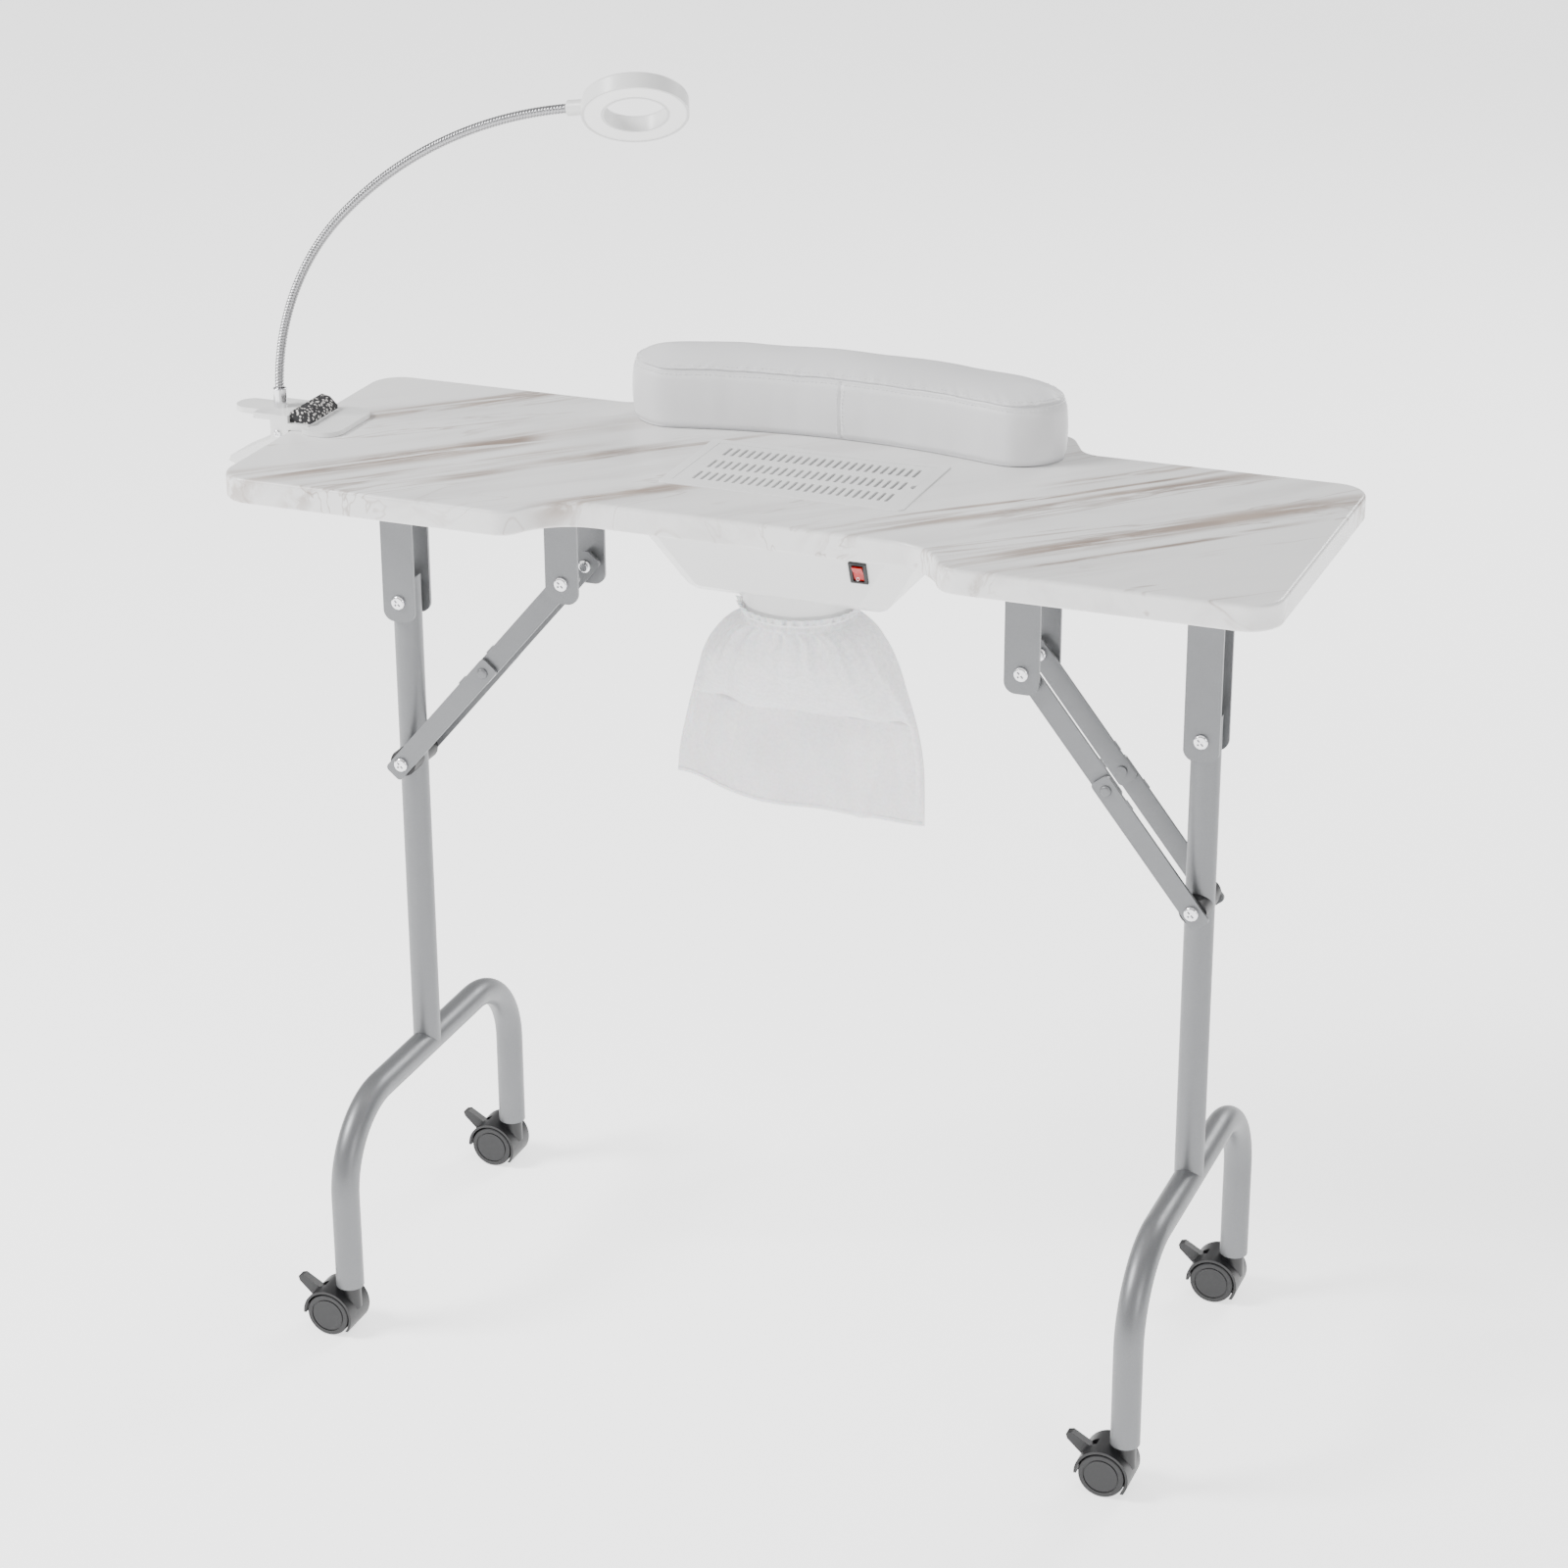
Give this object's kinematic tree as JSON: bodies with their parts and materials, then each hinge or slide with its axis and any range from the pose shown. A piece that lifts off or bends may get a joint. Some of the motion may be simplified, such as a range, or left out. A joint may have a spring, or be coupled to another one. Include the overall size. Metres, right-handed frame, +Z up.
{
  "type": "folding manicure table",
  "caption": "Folding table on wheeled legs, with an intake grille and dust bag, a wrist cushion and a clip-on ring lamp on a gooseneck.",
  "frame": {"origin": "centre of the whole object's footprint on the floor", "axes": "+X to the user's right along the table, +Y to the back (the cushion's side), +Z up"},
  "size_m": [0.964, 0.3807, 1.1191],
  "materials": {
    "table_top": "white marble laminate on board, satin, with brown-grey veins",
    "grille_frame": "white moulded plastic",
    "grille_panel": "white moulded plastic",
    "filter_pad": "open-cell filter foam",
    "collector_box": "white moulded plastic",
    "collar": "white moulded plastic",
    "fan_frame": "black glass-filled plastic",
    "fan_impeller": "black plastic",
    "fan_guard": "black plastic guard",
    "switch_bezel": "black plastic",
    "switch_rocker": "red plastic",
    "power_inlet": "black plastic",
    "collector_screws": "plated steel",
    "dust_bag": "white non-woven cloth",
    "bag_elastic": "white elastic band",
    "bracket_screws": "plated steel",
    "left_outer_bracket": "silver-grey powder coat",
    "left_inner_bracket": "silver-grey powder coat",
    "left_brace_upper_bars": "silver-grey powder coat",
    "left_brace_lower_bars": "silver-grey powder coat",
    "left_post": "silver-grey powder coat",
    "left_foot_tube": "silver-grey powder coat",
    "left_pivot_bolt": "bright plated steel",
    "left_brace_top_bolts": "bright plated steel",
    "left_brace_foot_bolt": "bright plated steel",
    "left_brace_spacers": "black plastic",
    "left_front_caster_hood": "black moulded nylon",
    "left_front_caster_wheels": "black moulded nylon",
    "left_front_caster_lever": "black moulded nylon",
    "left_back_caster_hood": "black moulded nylon",
    "left_back_caster_wheels": "black moulded nylon",
    "left_back_caster_lever": "black moulded nylon",
    "right_outer_bracket": "silver-grey powder coat",
    "right_inner_bracket": "silver-grey powder coat",
    "right_brace_upper_bars": "silver-grey powder coat",
    "right_brace_lower_bars": "silver-grey powder coat",
    "right_post": "silver-grey powder coat",
    "right_foot_tube": "silver-grey powder coat",
    "right_pivot_bolt": "bright plated steel",
    "right_brace_top_bolts": "bright plated steel",
    "right_brace_foot_bolt": "bright plated steel",
    "right_brace_spacers": "black plastic",
    "right_front_caster_hood": "black moulded nylon",
    "right_front_caster_wheels": "black moulded nylon",
    "right_front_caster_lever": "black moulded nylon",
    "right_back_caster_hood": "black moulded nylon",
    "right_back_caster_wheels": "black moulded nylon",
    "right_back_caster_lever": "black moulded nylon",
    "cushion_pad": "white leatherette over foam",
    "cushion_board": "raw board",
    "clamp_upper_jaw": "white plastic",
    "clamp_lower_jaw": "white plastic",
    "clamp_spring": "spring wire",
    "clamp_pin": "plated steel",
    "clamp_foam": "speckled black and white foam",
    "lamp_ferrule": "bright plated steel",
    "lamp_gooseneck": "ribbed plated steel hose",
    "lamp_ring_housing": "white plastic",
    "lamp_diffuser": "milky diffuser"
  },
  "bodies": {
    "table": {"table_top": "table_top", "grille_frame": "grille_frame", "collector_box": "collector_box", "collar": "collar", "fan_frame": "fan_frame", "fan_guard": "fan_guard", "switch_bezel": "switch_bezel", "power_inlet": "power_inlet", "collector_screws": "collector_screws", "dust_bag": "dust_bag", "bag_elastic": "bag_elastic", "bracket_screws": "bracket_screws", "left_outer_bracket": "left_outer_bracket", "left_inner_bracket": "left_inner_bracket", "left_pivot_bolt": "left_pivot_bolt", "left_brace_top_bolts": "left_brace_top_bolts", "right_outer_bracket": "right_outer_bracket", "right_inner_bracket": "right_inner_bracket", "right_pivot_bolt": "right_pivot_bolt", "right_brace_top_bolts": "right_brace_top_bolts", "clamp_upper_jaw": "clamp_upper_jaw", "clamp_spring": "clamp_spring", "clamp_pin": "clamp_pin", "clamp_foam": "clamp_foam", "lamp_ferrule": "lamp_ferrule"},
    "grille": {"grille_panel": "grille_panel", "filter_pad": "filter_pad"},
    "fan_rotor": {"fan_impeller": "fan_impeller"},
    "rocker": {"switch_rocker": "switch_rocker"},
    "cushion": {"cushion_pad": "cushion_pad", "cushion_board": "cushion_board"},
    "clamp_jaw": {"clamp_lower_jaw": "clamp_lower_jaw"},
    "lamp_arm": {"lamp_gooseneck": "lamp_gooseneck"},
    "lamp_head": {"lamp_ring_housing": "lamp_ring_housing", "lamp_diffuser": "lamp_diffuser"},
    "left_leg": {"left_post": "left_post", "left_foot_tube": "left_foot_tube", "left_brace_foot_bolt": "left_brace_foot_bolt", "left_brace_spacers": "left_brace_spacers"},
    "left_upper_link": {"left_brace_upper_bars": "left_brace_upper_bars"},
    "left_lower_link": {"left_brace_lower_bars": "left_brace_lower_bars"},
    "left_front_caster": {"left_front_caster_hood": "left_front_caster_hood"},
    "left_front_wheels": {"left_front_caster_wheels": "left_front_caster_wheels"},
    "left_front_lever": {"left_front_caster_lever": "left_front_caster_lever"},
    "left_back_caster": {"left_back_caster_hood": "left_back_caster_hood"},
    "left_back_wheels": {"left_back_caster_wheels": "left_back_caster_wheels"},
    "left_back_lever": {"left_back_caster_lever": "left_back_caster_lever"},
    "right_leg": {"right_post": "right_post", "right_foot_tube": "right_foot_tube", "right_brace_foot_bolt": "right_brace_foot_bolt", "right_brace_spacers": "right_brace_spacers"},
    "right_upper_link": {"right_brace_upper_bars": "right_brace_upper_bars"},
    "right_lower_link": {"right_brace_lower_bars": "right_brace_lower_bars"},
    "right_front_caster": {"right_front_caster_hood": "right_front_caster_hood"},
    "right_front_wheels": {"right_front_caster_wheels": "right_front_caster_wheels"},
    "right_front_lever": {"right_front_caster_lever": "right_front_caster_lever"},
    "right_back_caster": {"right_back_caster_hood": "right_back_caster_hood"},
    "right_back_wheels": {"right_back_caster_wheels": "right_back_caster_wheels"},
    "right_back_lever": {"right_back_caster_lever": "right_back_caster_lever"}
  },
  "joints": [
    {"name": "grille_lift", "type": "slide", "parent": "table", "child": "grille", "axis": [0, 0, 1], "range_m": [0, 0.1]},
    {"name": "fan_spin", "type": "hinge", "parent": "table", "child": "fan_rotor", "pos_m": [0.039, -0.0057, 0.705], "axis": [0, 0, 1], "continuous": true},
    {"name": "switch_rock", "type": "hinge", "parent": "table", "child": "rocker", "pos_m": [0.1143, -0.06947, 0.739], "axis": [-1, 0, 0], "range_deg": [0, 24]},
    {"name": "cushion_lift", "type": "slide", "parent": "table", "child": "cushion", "axis": [0, 0, 1], "range_m": [0, 0.1]},
    {"name": "clamp_open", "type": "hinge", "parent": "table", "child": "clamp_jaw", "pos_m": [-0.43, -0.0087, 0.784], "axis": [0, 1, 0], "range_deg": [0, 12], "stiffness_Nm_per_rad": 0.6, "springref_deg": -45.84},
    {"name": "lamp_swivel", "type": "hinge", "parent": "table", "child": "lamp_arm", "pos_m": [-0.439, -0.0087, 0.81], "axis": [0, 0, 1], "range_deg": [-90, 90]},
    {"name": "lamp_head_turn", "type": "hinge", "parent": "lamp_arm", "child": "lamp_head", "pos_m": [-0.15408, -0.0087, 1.08204], "axis": [0.9903, 0, 0.1392], "range_deg": [-60, 60]},
    {"name": "left_leg_fold", "type": "hinge", "parent": "table", "child": "left_leg", "pos_m": [-0.328, -0.0037, 0.639], "axis": [0, -1, 0], "range_deg": [0, 90], "deforming": ["dust_bag"]},
    {"name": "left_upper_link_swing", "type": "hinge", "parent": "table", "child": "left_upper_link", "pos_m": [-0.1665, -0.0037, 0.681], "axis": [0, 1, 0], "range_deg": [0, 63.72]},
    {"name": "left_lower_link_swing", "type": "hinge", "parent": "left_leg", "child": "left_lower_link", "pos_m": [-0.328, -0.0037, 0.491], "axis": [0, -1, 0], "range_deg": [0, 6.03]},
    {"name": "left_front_caster_swivel", "type": "hinge", "parent": "left_leg", "child": "left_front_caster", "pos_m": [-0.328, -0.1722, 0.046], "axis": [0, 0, 1], "continuous": true},
    {"name": "left_front_wheel_spin", "type": "hinge", "parent": "left_front_caster", "child": "left_front_wheels", "pos_m": [-0.343, -0.1722, 0.02], "axis": [0, 1, 0], "continuous": true},
    {"name": "left_front_brake", "type": "hinge", "parent": "left_front_caster", "child": "left_front_lever", "pos_m": [-0.358, -0.1722, 0.031], "axis": [0, -1, 0], "range_deg": [0, 12]},
    {"name": "left_back_caster_swivel", "type": "hinge", "parent": "left_leg", "child": "left_back_caster", "pos_m": [-0.328, 0.1648, 0.046], "axis": [0, 0, 1], "continuous": true},
    {"name": "left_back_wheel_spin", "type": "hinge", "parent": "left_back_caster", "child": "left_back_wheels", "pos_m": [-0.343, 0.1648, 0.02], "axis": [0, 1, 0], "continuous": true},
    {"name": "left_back_brake", "type": "hinge", "parent": "left_back_caster", "child": "left_back_lever", "pos_m": [-0.358, 0.1648, 0.031], "axis": [0, -1, 0], "range_deg": [0, 12]},
    {"name": "right_leg_fold", "type": "hinge", "parent": "table", "child": "right_leg", "pos_m": [0.39, -0.0037, 0.6135], "axis": [0, 1, 0], "range_deg": [0, 90], "deforming": ["dust_bag"]},
    {"name": "right_upper_link_swing", "type": "hinge", "parent": "table", "child": "right_upper_link", "pos_m": [0.2415, -0.0037, 0.656], "axis": [0, -1, 0], "range_deg": [0, 49.1]},
    {"name": "right_lower_link_swing", "type": "hinge", "parent": "right_leg", "child": "right_lower_link", "pos_m": [0.39, -0.0037, 0.4655], "axis": [0, 1, 0], "range_deg": [0, 20.77]},
    {"name": "right_front_caster_swivel", "type": "hinge", "parent": "right_leg", "child": "right_front_caster", "pos_m": [0.39, -0.1722, 0.046], "axis": [0, 0, 1], "continuous": true},
    {"name": "right_front_wheel_spin", "type": "hinge", "parent": "right_front_caster", "child": "right_front_wheels", "pos_m": [0.375, -0.1722, 0.02], "axis": [0, 1, 0], "continuous": true},
    {"name": "right_front_brake", "type": "hinge", "parent": "right_front_caster", "child": "right_front_lever", "pos_m": [0.36, -0.1722, 0.031], "axis": [0, -1, 0], "range_deg": [0, 12]},
    {"name": "right_back_caster_swivel", "type": "hinge", "parent": "right_leg", "child": "right_back_caster", "pos_m": [0.39, 0.1648, 0.046], "axis": [0, 0, 1], "continuous": true},
    {"name": "right_back_wheel_spin", "type": "hinge", "parent": "right_back_caster", "child": "right_back_wheels", "pos_m": [0.375, 0.1648, 0.02], "axis": [0, 1, 0], "continuous": true},
    {"name": "right_back_brake", "type": "hinge", "parent": "right_back_caster", "child": "right_back_lever", "pos_m": [0.36, 0.1648, 0.031], "axis": [0, -1, 0], "range_deg": [0, 12]}
  ],
  "couplings": [
    {"joint": "left_upper_link_swing", "follows": "left_leg_fold", "ratio": 0.708},
    {"joint": "left_lower_link_swing", "follows": "left_leg_fold", "ratio": 0.067},
    {"joint": "right_upper_link_swing", "follows": "right_leg_fold", "ratio": 0.5455},
    {"joint": "right_lower_link_swing", "follows": "right_leg_fold", "ratio": 0.2307}
  ]
}
